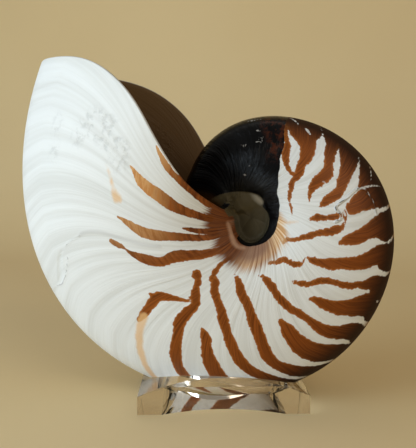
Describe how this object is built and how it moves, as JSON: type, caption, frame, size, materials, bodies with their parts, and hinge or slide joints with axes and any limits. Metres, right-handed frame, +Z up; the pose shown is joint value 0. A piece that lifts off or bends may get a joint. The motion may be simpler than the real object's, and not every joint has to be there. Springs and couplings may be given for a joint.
{
  "type": "whole nautilus shell on a clear display stand",
  "caption": "Coiled nautilus shell with open living chamber, resting upright in the cut seat of a clear acrylic block.",
  "frame": {"origin": "on the table, under the middle of the whole object", "axes": "+Z up; the shell's plane of symmetry is Y = 0, its mouth is up on the -X side, and +Y points to the back"},
  "size_m": [0.146, 0.0788, 0.1303],
  "materials": {
    "shell": "satin white shell with rust brown stripes and a black film by the mouth",
    "acrylic": "polished clear acrylic"
  },
  "bodies": {
    "root": {"shell": "shell", "stand": "acrylic"}
  },
  "joints": []
}
